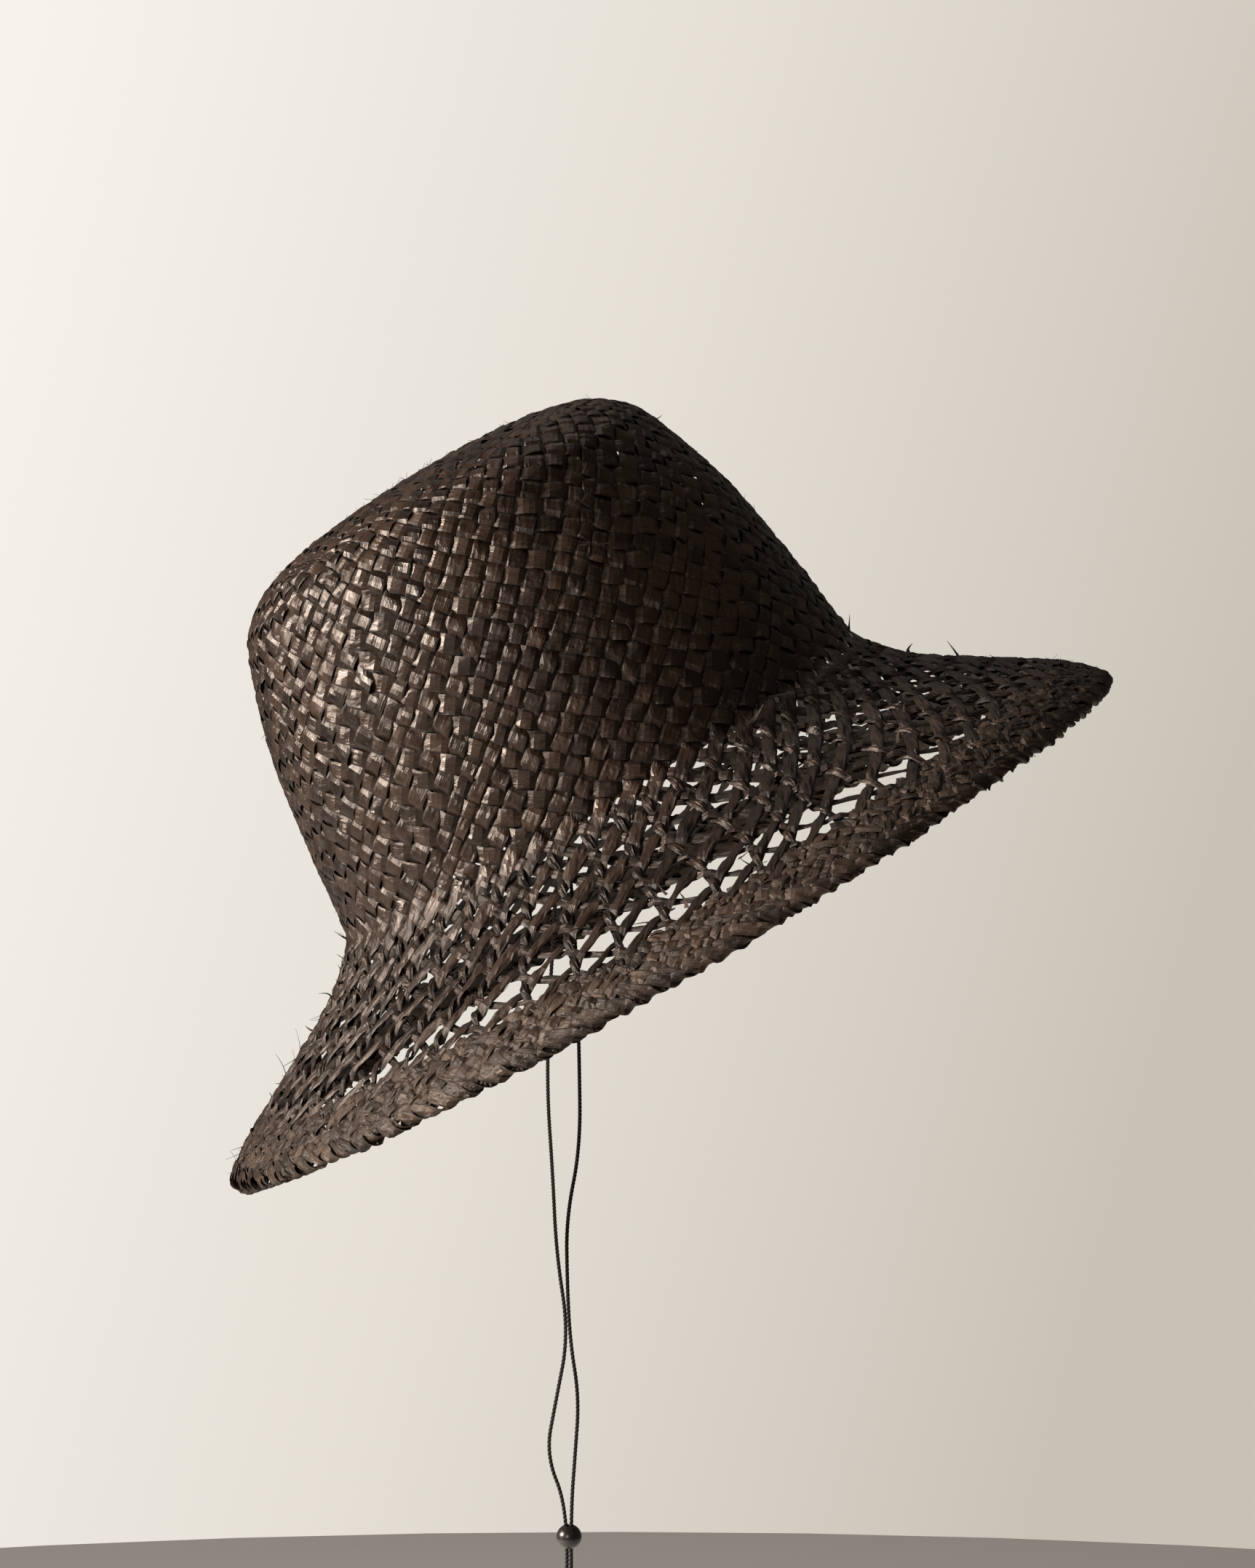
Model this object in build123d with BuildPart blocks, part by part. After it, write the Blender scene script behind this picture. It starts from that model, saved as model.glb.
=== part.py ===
"""Plaited sun hat with an open-work brim and a chin cord, stored tilted as it sits on a stand.

The hat has its own axis, leaned over by TILT in the XZ plane, so that the chin cord hangs straight
down. Lengths are millimetres. The origin is the centre of the head opening, where crown and brim meet.
"""

from build123d import *
from math import acos, atan2, cos, degrees, pi, radians, sin, sqrt, tan
import os

os.makedirs("parts", exist_ok=True)

# ---- driving dimensions ------------------------------------------------------------------------
TILT = 31  # lean of the hat's axis from upright, towards -X, in degrees
OVAL = 0.84  # width over length of the crown's head oval
OVAL_GAP = 16.4  # the brim's half length less its half width, the same all the way out
WALL = 2.2  # thickness of the two crossing layers of strip
RIM_WALL = 3.6  # thickness of the edge, where the strip ends are folded back
CLEAR = 0.15  # gap between pieces that lie on each other

# the hat's outer line, from the middle of the crown to the rim: half length and height
CROWN_TOP = [(0, 122.5), (37, 120.6), (61, 115.6), (74.5, 107.5)]
CROWN_LINE = [*CROWN_TOP, (82.2, 96), (92.8, 64), (98.8, 28), (102.3, 0)]
CROWN_FLARE = 0.14  # how far out the crown wall runs for each millimetre down, where it meets the brim
BRIM_LINE = [(102.3, 0), (106.4, -7.7), (113, -15.3), (123, -22.9), (137.5, -31.5), (158, -43.4)]
BAND_LINE = [(158, -43.4), (164.5, -47.5), (171, -52.4)]
RIM_LINE = [(171, -52.4), (174, -55.7), (175.3, -59)]
BRIM_FORWARD = 5.2  # how far the rim's middle lies in front of the crown's
BRIM_TIP = 0.93  # how much less the rim leans than the crown, in degrees

RIBBON_LOW, RIBBON_HIGH = 1.5, 27.5  # heights of the sweatband's edges
RIBBON = 0.9  # thickness of the sweatband's ribbon
RIBBON_A = 97.6  # half length of the sweatband's inner oval at its lower edge
RIBBON_LEAN = 3.2 / (RIBBON_HIGH - RIBBON_LOW)  # how much that half length shrinks with height
STITCHES = 64  # stitches that hold the sweatband
STITCH = (3.2, 0.5, 0.5)  # one stitch: along the ribbon, into it, and up it
STITCH_UP = 2  # height of the stitches above the ribbon's lower edge
JOIN_ARC, JOIN_INSET = 9, 0.5  # the arc of the overlap of the ribbon's ends, and how much narrower it is
JOIN_STITCHES = 2  # stitches left out at the overlap

TAB_FORWARD = 18  # how far in front of the hat's middle the cord tabs are sewn
TAB = (8, 1.0, 18.5)  # a folded tab: along the ribbon, into it, and up it
TAB_LOW = -4.5  # height of the tab's lower edge
TAB_HOLE = 1.1  # radius of the hole that the cord's loop goes through
LOOP = 2.3  # radius of that loop
BAR = (2.6, 0.4, 0.5)  # one stitch through a tab: along the ribbon, into it, and up it
BAR_ROWS, BAR_STEP, BAR_LOW, BAR_APART = 4, 2.2, 9, 4  # rows of two stitches, from this far up the tab
TAB_CORNER = 1.5  # radius of the tab's corners

CORD = 1.4  # diameter of the braided chin cord
KNOT = 1.9  # radius of the knot under each tab
BEAD = 8.9  # diameter of the slider bead
BEAD_BORE = 3.2  # its hole, which takes both cords
BEAD_SOFT = 0.35  # rounding of the hole's edges
BEAD_AT = (-9.3, 0, -268.5)
STOP_AT = (-9.3, 0, -292)  # middle of the stop knot
STOP = (5.2, 5.5)  # the stop knot's diameter and height

# the cords' routes, from the knot under each tab, through the bead and the stop knot to the tail
LEFT_ROUTE = [
    (-11.4, -78.5, -16),
    (-12.8, -72.5, -40),
    (-15, -58.5, -72),
    (-16.2, -38, -104),
    (-14.6, -17, -137),
    (-13.6, -3.4, -167),
    (-9.3, -0.9, -196),
    (-14, -1.1, -220.5),
    (-17.4, -0.8, -239),
    (-10.05, 0, -257.6),
    (-10.05, 0, -292),
    (-11.4, -0.5, -307),
]
RIGHT_ROUTE = [
    (-11.4, 78.5, -16),
    (-9.6, 72, -40),
    (-7, 58, -72),
    (-6, 38, -104),
    (-5.4, 19, -133),
    (-10.2, 6, -156),
    (-9.9, 1.7, -178),
    (-8.9, 0.9, -199),
    (-5.7, 0.9, -219),
    (-7.2, 0.6, -240),
    (-8.55, 0, -258.2),
    (-8.55, 0, -292),
    (-7.3, 0.5, -307),
]

# ---- the hat's own planes ----------------------------------------------------------------------
LEAN = radians(TILT)
ALONG = (cos(LEAN), 0, sin(LEAN))  # the head's length, towards the back
UP = (-sin(LEAN), 0, cos(LEAN))  # the hat's axis
HAT = Plane(origin=(0, 0, 0), x_dir=ALONG, z_dir=UP)
SECTION = Plane(origin=(0, 0, 0), x_dir=ALONG, z_dir=(0, -1, 0))
HAT_AXIS = Axis((0, 0, 0), UP)


def finish(piece, name):
    """Names a finished piece and writes it."""
    piece.part.label = name
    export_step(piece.part, f"parts/{name}.step")


def inward(line, depth):
    """The line moved by depth towards the inside of the hat, at right angles to itself."""
    moved = []
    for i, (half, height) in enumerate(line):
        before, after = line[max(i - 1, 0)], line[min(i + 1, len(line) - 1)]
        run, drop = after[0] - before[0], after[1] - before[1]
        size = sqrt(run**2 + drop**2)
        moved.append((max(half + depth * drop / size, 0), height - depth * run / size))
    return moved


def on_oval(half_length, half_width, turn, height):
    """The place at this turn, in degrees, on an oval round the hat's axis, with its x along the oval."""
    u, v = half_length * cos(radians(turn)), half_width * sin(radians(turn))
    slope = atan2(half_width * cos(radians(turn)), -half_length * sin(radians(turn)))
    return HAT.location * Location((u, v, height), (0, 0, degrees(slope)))


def brim_plane(height):
    """The brim's section plane at this height, and how far forward its oval lies."""
    share = height / RIM_LINE[-1][1]
    return HAT.offset(height).rotated((0, BRIM_TIP * share, 0)), BRIM_FORWARD * share**1.5


def brim_ring(outer, wall):
    """A closed ring of the brim: the oval loft through the outer line, less the same one wall deeper."""
    with BuildPart() as ring:
        for shrink, how in ((0, Mode.ADD), (wall, Mode.SUBTRACT)):
            for i, (half, height) in enumerate(outer):
                before, after = outer[max(i - 1, 0)], outer[min(i + 1, len(outer) - 1)]
                flare = (after[0] - before[0]) / (after[1] - before[1])
                inset = shrink * sqrt(1 + flare**2)
                plane, forward = brim_plane(height)
                with BuildSketch(plane):
                    with Locations((-forward, 0)):
                        Ellipse(half - inset, half - OVAL_GAP - inset)
            loft(mode=how)
    return ring


# ---- the plaited shell -------------------------------------------------------------------------
# crown: a shell turned about the hat's axis and pressed to the head's oval
lining = inward(CROWN_LINE, WALL)
lining[0] = (0, CROWN_LINE[0][1] - WALL)
lining[-1] = (CROWN_LINE[-1][0] - WALL, 0)
with BuildPart() as crown_weave:
    with BuildSketch(SECTION):
        with BuildLine():
            Spline(*CROWN_LINE, tangents=[(1, 0), (CROWN_FLARE, -1)])
            Spline(*lining, tangents=[(1, 0), (CROWN_FLARE, -1)])
            Line(CROWN_LINE[0], lining[0])
            Line(CROWN_LINE[-1], lining[-1])
        make_face()
    revolve(axis=HAT_AXIS)
    scale(by=(1, OVAL, 1))
finish(crown_weave, "crown_weave")

for name, line, wall in (
    ("brim_openwork", BRIM_LINE, WALL),
    ("brim_band", BAND_LINE, WALL),
    ("rim_fold", RIM_LINE, RIM_WALL),
):
    finish(brim_ring(line, wall), name)


# ---- the sweatband -----------------------------------------------------------------------------
def ribbon_ring(half, low, high, arc):
    """A ribbon that stands round the inside of the crown, over arc degrees from the back."""
    with BuildPart() as ribbon:
        with BuildSketch(SECTION):
            with BuildLine():
                Polyline(
                    (half - RIBBON_LEAN * (low - RIBBON_LOW), low),
                    (half + RIBBON - RIBBON_LEAN * (low - RIBBON_LOW), low),
                    (half + RIBBON - RIBBON_LEAN * (high - RIBBON_LOW), high),
                    (half - RIBBON_LEAN * (high - RIBBON_LOW), high),
                    close=True,
                )
            make_face()
        revolve(axis=HAT_AXIS, revolution_arc=arc)
        scale(by=(1, OVAL, 1))
    return ribbon


finish(ribbon_ring(RIBBON_A, RIBBON_LOW, RIBBON_HIGH, 360), "sweatband")
join = ribbon_ring(RIBBON_A - RIBBON - CLEAR, RIBBON_LOW + JOIN_INSET, RIBBON_HIGH - JOIN_INSET, JOIN_ARC)
finish(join, "sweatband_join")

stitch_half = RIBBON_A - RIBBON_LEAN * STITCH_UP - (STITCH[1] / 2 + CLEAR) / OVAL
stitch_places = [
    on_oval(stitch_half, stitch_half * OVAL, 360 * (i + 0.5) / STITCHES, RIBBON_LOW + STITCH_UP)
    for i in range(JOIN_STITCHES, STITCHES)
]
with BuildPart() as sweatband_stitches:
    with Locations(*stitch_places):
        Box(*STITCH)
finish(sweatband_stitches, "sweatband_stitches")

# ---- tabs, their stitches and knots ------------------------------------------------------------
tab_top = TAB_LOW + TAB[2]
tab_half = RIBBON_A - RIBBON_LEAN * (tab_top - RIBBON_LOW) - (TAB[1] / 2 + 2 * CLEAR) / OVAL
tab_turn = degrees(acos(-TAB_FORWARD / tab_half))
for name, turn in (("left", -tab_turn), ("right", tab_turn)):
    tab_place = on_oval(tab_half, tab_half * OVAL, turn, TAB_LOW)
    with BuildPart() as cord_tab:
        with Locations(tab_place * Location((0, 0, TAB[2] / 2))):
            Box(*TAB)
        fillet(cord_tab.edges().filter_by(lambda e: abs(e.length - TAB[1]) < 0.01), TAB_CORNER)
        with Locations(tab_place * Location((0, 0, LOOP), (90, 0, 0))):
            Cylinder(TAB_HOLE, 3 * TAB[1], mode=Mode.SUBTRACT)
    finish(cord_tab, f"cord_tab_{name}")

    with BuildPart() as tab_stitches:
        bar_depth = (TAB[1] + BAR[1]) / 2 + CLEAR / 3
        bars = [
            (side * BAR_APART / 2, bar_depth, BAR_LOW + BAR_STEP * row)
            for row in range(BAR_ROWS)
            for side in (-1, 1)
        ]
        with Locations(*[tab_place * Location(bar) for bar in bars]):
            Box(*BAR)
    finish(tab_stitches, f"tab_stitches_{name}")

    with BuildPart() as anchor_knot:
        with Locations(tab_place * Location((0, 0, 0), (0, 90, 0))):
            Torus(LOOP, CORD / 2)
        with Locations(tab_place * Location((0, 0, -LOOP - KNOT / 2))):
            Sphere(KNOT)
    finish(anchor_knot, f"anchor_knot_{name}")


# ---- the chin cord -----------------------------------------------------------------------------
def cord_radii(route):
    """The largest arc that fits at each corner of a cord's route."""
    radii = []
    for before, corner, after in zip(route, route[1:], route[2:]):
        into, out = Vector(*corner) - Vector(*before), Vector(*after) - Vector(*corner)
        half_turn = radians(into.get_angle(out)) / 2
        radii.append(0.45 * min(into.length, out.length) / tan(half_turn))
    return radii


for name, route in (("chin_cord_left", LEFT_ROUTE), ("chin_cord_right", RIGHT_ROUTE)):
    radii = cord_radii(route)
    with BuildPart() as chin_cord:
        with BuildLine() as centre:
            FilletPolyline(*route, radius=radii)
        with BuildSketch(Plane(origin=centre.line @ 0, z_dir=centre.line % 0)):
            Circle(CORD / 2)
        sweep()
    finish(chin_cord, name)
    length = sum(edge.length for edge in centre.edges())
    tube = pi * CORD**2 / 4 * length
    print(name, "length", round(length, 1), "radii", [round(r, 1) for r in radii])
    print(name, "volume", round(chin_cord.part.volume, 2), "section times length", round(tube, 2))

with BuildPart() as slider_bead:
    with Locations(BEAD_AT):
        Sphere(BEAD / 2)
        Cylinder(BEAD_BORE / 2, 2 * BEAD, mode=Mode.SUBTRACT)
    fillet(slider_bead.edges().filter_by(GeomType.CIRCLE), BEAD_SOFT)
finish(slider_bead, "slider_bead")

with BuildPart() as end_knot:
    with BuildSketch(Plane.XZ):
        with Locations((STOP_AT[0], STOP_AT[2])):
            Ellipse(STOP[0] / 2, STOP[1] / 2)
            Rectangle(STOP[0], 2 * STOP[1], align=(Align.MAX, Align.CENTER), mode=Mode.SUBTRACT)
    revolve(axis=Axis(STOP_AT, (0, 0, 1)))
finish(end_knot, "end_knot")
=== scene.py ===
"""Looks of the plaited sun hat: every strip of the plait, the sweatband, the chin cord and its bead."""

import math

import bmesh
import bpy
import numpy as np
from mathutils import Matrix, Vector


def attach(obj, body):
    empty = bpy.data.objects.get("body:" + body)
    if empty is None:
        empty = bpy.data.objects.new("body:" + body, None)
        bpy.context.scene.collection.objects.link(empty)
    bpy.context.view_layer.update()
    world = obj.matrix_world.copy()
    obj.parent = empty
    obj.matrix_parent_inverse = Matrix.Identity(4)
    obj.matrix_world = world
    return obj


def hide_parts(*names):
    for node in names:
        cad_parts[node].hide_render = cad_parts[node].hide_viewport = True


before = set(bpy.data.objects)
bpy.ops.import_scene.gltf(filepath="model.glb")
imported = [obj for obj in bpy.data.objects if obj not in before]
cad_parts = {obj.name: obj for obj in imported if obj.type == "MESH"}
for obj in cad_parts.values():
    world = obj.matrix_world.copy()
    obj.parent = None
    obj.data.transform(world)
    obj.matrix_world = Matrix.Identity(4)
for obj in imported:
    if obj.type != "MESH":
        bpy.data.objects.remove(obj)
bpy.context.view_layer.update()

MM = 0.001
LEAN = math.radians(31)  # the hat's axis leans this far from upright, towards -X
rng = np.random.default_rng(7)

# ---- the hat's shape, in millimetres ----
OVAL = 0.84  # width over length of the crown
OVAL_GAP = 16.4  # half length less half width, anywhere on the brim
WALL = 2.2  # thickness of the plait
CROWN_TOP = [(0, 122.5), (37, 120.6), (61, 115.6), (74.5, 107.5)]
CROWN_LINE = [*CROWN_TOP, (82.2, 96), (92.8, 64), (98.8, 28), (102.3, 0)]
BRIM_LINE = [(106.4, -7.7), (113, -15.3), (123, -22.9), (137.5, -31.5), (158, -43.4)]
EDGE_LINE = [(164.5, -47.5), (171, -52.4), (174, -55.7), (175.3, -59)]
BRIM_FORWARD = 5.2  # how far the rim's middle lies in front of the crown's
BRIM_TIP = math.radians(0.93)  # how much less the rim leans than the crown

# ---- the chin cord, in metres ----
CORD = 0.0014  # its diameter
LEFT_ROUTE = [
    (-0.0114, -0.0785, -0.016),
    (-0.0128, -0.0725, -0.04),
    (-0.015, -0.0585, -0.072),
    (-0.0162, -0.038, -0.104),
    (-0.0146, -0.017, -0.137),
    (-0.0136, -0.0034, -0.167),
    (-0.0093, -0.0009, -0.196),
    (-0.014, -0.0011, -0.2205),
    (-0.0174, -0.0008, -0.239),
    (-0.01005, 0, -0.2576),
    (-0.01005, 0, -0.292),
    (-0.0114, -0.0005, -0.307),
]
RIGHT_ROUTE = [
    (-0.0114, 0.0785, -0.016),
    (-0.0096, 0.072, -0.04),
    (-0.007, 0.058, -0.072),
    (-0.006, 0.038, -0.104),
    (-0.0054, 0.019, -0.133),
    (-0.0102, 0.006, -0.156),
    (-0.0099, 0.0017, -0.178),
    (-0.0089, 0.0009, -0.199),
    (-0.0057, 0.0009, -0.219),
    (-0.0072, 0.0006, -0.24),
    (-0.00855, 0, -0.2582),
    (-0.00855, 0, -0.292),
    (-0.0073, 0.0005, -0.307),
]


# ---- camera
def make_camera():
    """A long lens a little above the hat, level enough to see just under the crown's shoulder."""
    away, rise = 1.55, math.radians(4.2)
    aim = Vector((0.0113, 0, -0.0025))
    shown_height = 0.5458  # what the frame takes in at the hat, top to bottom
    back = Vector((0, -math.cos(rise), math.sin(rise)))
    data = bpy.data.cameras.new("camera")
    data.sensor_width = 36
    data.lens = data.sensor_width * away / shown_height
    camera = bpy.data.objects.new("camera", data)
    camera.location = aim + away * back
    camera.rotation_mode = "QUATERNION"
    camera.rotation_quaternion = (-back).to_track_quat("-Z", "Y")
    bpy.context.collection.objects.link(camera)
    bpy.context.scene.camera = camera


make_camera()


# ---- shader node groups and materials
def new_group(name, inputs, outputs):
    """A node group with these named sockets. Returns the group, its input node and its output node."""
    group = bpy.data.node_groups.new(name, "ShaderNodeTree")
    for title, kind, value in inputs:
        socket = group.interface.new_socket(title, in_out="INPUT", socket_type=kind)
        if value is not None:
            socket.default_value = value
    for title, kind in outputs:
        group.interface.new_socket(title, in_out="OUTPUT", socket_type=kind)
    return group, group.nodes.new("NodeGroupInput"), group.nodes.new("NodeGroupOutput")


def maths(tree, operation, first, second=None, clamp=False):
    """A Math node. first and second are sockets or numbers."""
    node = tree.nodes.new("ShaderNodeMath")
    node.operation = operation
    node.use_clamp = clamp
    for i, value in enumerate((first, second)):
        if isinstance(value, (int, float)):
            node.inputs[i].default_value = value
        elif value is not None:
            tree.links.new(value, node.inputs[i])
    return node.outputs[0]


def noise(tree, vector, scale, detail=3.0, roughness=0.6):
    """A Noise Texture's value over the given vector."""
    node = tree.nodes.new("ShaderNodeTexNoise")
    node.inputs["Scale"].default_value = scale
    node.inputs["Detail"].default_value = detail
    node.inputs["Roughness"].default_value = roughness
    tree.links.new(vector, node.inputs["Vector"])
    return node.outputs["Fac"]


def stretched(tree, vector, along, across, offset=0.0):
    """The vector scaled by along in x and across in y, to draw a pattern out into fibres."""
    node = tree.nodes.new("ShaderNodeMapping")
    node.inputs["Scale"].default_value = (along, across, 1)
    node.inputs["Location"].default_value = (offset, offset, 0)
    tree.links.new(vector, node.inputs["Vector"])
    return node.outputs["Vector"]


def ramp(tree, value, stops):
    """A Color Ramp with these (position, colour) stops."""
    node = tree.nodes.new("ShaderNodeValToRGB")
    while len(node.color_ramp.elements) < len(stops):
        node.color_ramp.elements.new(1.0)
    for element, (place, colour) in zip(node.color_ramp.elements, stops):
        element.position = place
        element.color = (*colour, 1)
    tree.links.new(value, node.inputs["Fac"])
    return node.outputs["Color"]


def mixed(tree, factor, first, second):
    """A colour Mix node. factor, first and second are sockets, numbers or colours."""
    node = tree.nodes.new("ShaderNodeMix")
    node.data_type = "RGBA"
    for socket, value in zip((node.inputs[0], node.inputs[6], node.inputs[7]), (factor, first, second)):
        if isinstance(value, (int, float)):
            socket.default_value = value
        elif isinstance(value, tuple):
            socket.default_value = (*value, 1)
        else:
            tree.links.new(value, socket)
    return node.outputs[2]


def fibre_group():
    """Fibres that run along a strip: a height for bump, fine dark lines, blotches of dye, and a mask of its
    edges, which the strip material darkens as painted shade (with some darker dye).
    """
    group, given, result = new_group(
        "strip_fibres",
        [("Along", "NodeSocketVector", None), ("Fibres", "NodeSocketFloat", 9.0)],
        [
            ("Height", "NodeSocketFloat"),
            ("Lines", "NodeSocketFloat"),
            ("Blotches", "NodeSocketFloat"),
            ("Edges", "NodeSocketFloat"),
        ],
    )
    vector = given.outputs["Along"]
    scaled = group.nodes.new("ShaderNodeVectorMath")
    scaled.operation = "MULTIPLY"
    combine = group.nodes.new("ShaderNodeCombineXYZ")
    combine.inputs["X"].default_value = 1.0
    combine.inputs["Z"].default_value = 1.0
    group.links.new(given.outputs["Fibres"], combine.inputs["Y"])
    group.links.new(vector, scaled.inputs[0])
    group.links.new(combine.outputs[0], scaled.inputs[1])
    coarse = noise(group, stretched(group, scaled.outputs[0], 0.35, 0.28), 1.0, 2.0, 0.5)
    fine = noise(group, stretched(group, scaled.outputs[0], 0.9, 1.0, 3.0), 1.0, 4.0, 0.7)
    blotches = noise(group, stretched(group, vector, 0.9, 0.9, 11.0), 1.0, 2.0, 0.5)
    both = maths(group, "ADD", maths(group, "MULTIPLY", coarse, 0.7), maths(group, "MULTIPLY", fine, 0.5))
    between = maths(group, "MULTIPLY", maths(group, "SUBTRACT", fine, 0.3), 4.0)
    lines = maths(group, "SUBTRACT", 1.0, between, True)
    parts = group.nodes.new("ShaderNodeSeparateXYZ")
    group.links.new(vector, parts.inputs[0])
    from_middle = maths(group, "ABSOLUTE", parts.outputs["Y"])
    edges = maths(group, "MULTIPLY", maths(group, "SUBTRACT", from_middle, 0.62), 2.6, True)
    group.links.new(edges, result.inputs["Edges"])
    group.links.new(both, result.inputs["Height"])
    group.links.new(lines, result.inputs["Lines"])
    group.links.new(blotches, result.inputs["Blotches"])
    return group


FIBRES = fibre_group()


def new_material(name):
    """A material with a bare Principled BSDF. Returns the material, its tree and the shader."""
    material = bpy.data.materials.new(name)
    material.use_nodes = True
    tree = material.node_tree
    return material, tree, tree.nodes["Principled BSDF"]


def named(tree, attribute):
    """A named value of the mesh."""
    node = tree.nodes.new("ShaderNodeAttribute")
    node.attribute_name = attribute
    return node


def strip_material(name, dark, middle, light, roughness, gloss, fibres, bump):
    """Dyed palm strip: three browns chosen strip by strip, fibres, creases, and painted shade where it dives
    under a crossing strip and along its edges (with some darker dye at the edges).
    """
    material, tree, shader = new_material(name)
    along = named(tree, "along").outputs["Vector"]
    shade = named(tree, "shade").outputs["Fac"]
    group = tree.nodes.new("ShaderNodeGroup")
    group.node_tree = FIBRES
    group.inputs["Fibres"].default_value = fibres
    tree.links.new(along, group.inputs["Along"])
    tone = maths(
        tree,
        "ADD",
        maths(tree, "MULTIPLY", shade, 0.55),
        maths(tree, "MULTIPLY", group.outputs["Blotches"], 0.45),
    )
    body = ramp(tree, tone, [(0.25, dark), (0.5, middle), (0.78, light)])
    darkened = maths(tree, "MULTIPLY", group.outputs["Lines"], 0.85)
    lined = mixed(tree, darkened, body, tuple(0.45 * c for c in dark))
    # Painted shade: the colour darkens towards a quarter of the darkest brown where the strip lies low under
    # a crossing strip, and along its edges, and is rougher there.
    raised = named(tree, "raised").outputs["Fac"]
    hollow = maths(tree, "MULTIPLY", maths(tree, "SUBTRACT", 0.75, raised), 1.1, True)
    shadowed = maths(tree, "MAXIMUM", hollow, maths(tree, "MULTIPLY", group.outputs["Edges"], 0.55))
    painted_shade_colour = mixed(tree, shadowed, lined, tuple(0.25 * c for c in dark))
    tree.links.new(painted_shade_colour, shader.inputs["Base Color"])
    rough = maths(tree, "ADD", maths(tree, "MULTIPLY", group.outputs["Blotches"], 0.25), roughness - 0.12)
    rough = maths(tree, "ADD", rough, maths(tree, "MULTIPLY", shadowed, 0.3))
    tree.links.new(rough, shader.inputs["Roughness"])
    relief = tree.nodes.new("ShaderNodeBump")
    relief.inputs["Strength"].default_value = bump
    relief.inputs["Distance"].default_value = 0.0004
    tree.links.new(group.outputs["Height"], relief.inputs["Height"])
    tree.links.new(relief.outputs["Normal"], shader.inputs["Normal"])
    shader.inputs["Specular IOR Level"].default_value = gloss
    shader.inputs["Specular Tint"].default_value = (1.0, 0.84, 0.73, 1.0)
    return material


def plain_weave_material(name, colour, roughness, scale, bump):
    """Fine ribbed cloth or thread."""
    material, tree, shader = new_material(name)
    place = tree.nodes.new("ShaderNodeTexCoord").outputs["Object"]
    grain = noise(tree, place, scale, 4.0, 0.7)
    tree.links.new(
        ramp(tree, grain, [(0.3, tuple(0.6 * c for c in colour)), (0.7, tuple(1.5 * c for c in colour))]),
        shader.inputs["Base Color"],
    )
    relief = tree.nodes.new("ShaderNodeBump")
    relief.inputs["Strength"].default_value = bump
    relief.inputs["Distance"].default_value = 0.0002
    tree.links.new(grain, relief.inputs["Height"])
    tree.links.new(relief.outputs["Normal"], shader.inputs["Normal"])
    shader.inputs["Roughness"].default_value = roughness
    shader.inputs["Specular IOR Level"].default_value = 0.25
    return material


def wood_material(name):
    """Dark stained, waxed wood with rings across the bead."""
    material, tree, shader = new_material(name)
    place = tree.nodes.new("ShaderNodeTexCoord").outputs["Object"]
    rings = noise(tree, stretched(tree, place, 260, 260), 1.0, 3.0, 0.6)
    tree.links.new(
        ramp(tree, rings, [(0.35, (0.006, 0.0045, 0.004)), (0.65, (0.022, 0.015, 0.011))]),
        shader.inputs["Base Color"],
    )
    tree.links.new(maths(tree, "ADD", maths(tree, "MULTIPLY", rings, 0.2), 0.2), shader.inputs["Roughness"])
    shader.inputs["Coat Weight"].default_value = 0.3
    return material


CROWN_LOOK = strip_material(
    "strip_satin",
    dark=(0.0072, 0.0034, 0.0020),
    middle=(0.0165, 0.0082, 0.0050),
    light=(0.038, 0.0210, 0.0130),
    roughness=0.30,
    gloss=0.36,
    fibres=9.0,
    bump=0.6,
)
# The outward strips' browns are the crown's browns darkened by about a fifth, as painted shade on the brim.
BRIM_LOOK = strip_material(
    "strip_twisted_shaded",
    dark=(0.0060, 0.0028, 0.0016),
    middle=(0.0135, 0.0066, 0.0040),
    light=(0.031, 0.0168, 0.0102),
    roughness=0.34,
    gloss=0.34,
    fibres=10.0,
    bump=0.6,
)
BAND_LOOK = strip_material(
    "strip_dry",
    dark=(0.0090, 0.0047, 0.0028),
    middle=(0.0200, 0.0112, 0.0070),
    light=(0.052, 0.0315, 0.0200),
    roughness=0.44,
    gloss=0.34,
    fibres=12.0,
    bump=0.8,
)
RIBBON_LOOK = plain_weave_material("ribbon_ribbed", (0.012, 0.010, 0.009), 0.75, 900, 0.4)
THREAD_LOOK = plain_weave_material("thread", (0.022, 0.017, 0.014), 0.7, 1400, 0.3)
BRAID_LOOK = plain_weave_material("braid", (0.0075, 0.0045, 0.0042), 0.5, 1500, 0.3)
BEAD_LOOK = wood_material("bead_wood")


# ---- the hat's surface
def smooth_line(points, steps=40):
    """A dense smooth line through points: Catmull-Rom, in the plane."""
    points = np.array(points, float)
    ends = np.vstack([points[1] * (-1, 1), points, 2 * points[-1] - points[-2]])
    t = np.linspace(0, 1, steps, endpoint=False)[:, None]
    out = []
    for a, b, c, d in zip(ends, ends[1:], ends[2:], ends[3:]):
        square, cube = 2 * a - 5 * b + 4 * c - d, 3 * b - a - 3 * c + d
        out.append(0.5 * (2 * b + (c - a) * t + square * t**2 + cube * t**3))
    return np.vstack([*out, points[-1:]])


def inner_offset(line, depth):
    """The line moved towards the inside of the hat."""
    along = np.gradient(line, axis=0)
    along /= np.linalg.norm(along, axis=1)[:, None]
    return line + depth * np.stack([along[:, 1], -along[:, 0]], axis=1)


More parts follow.
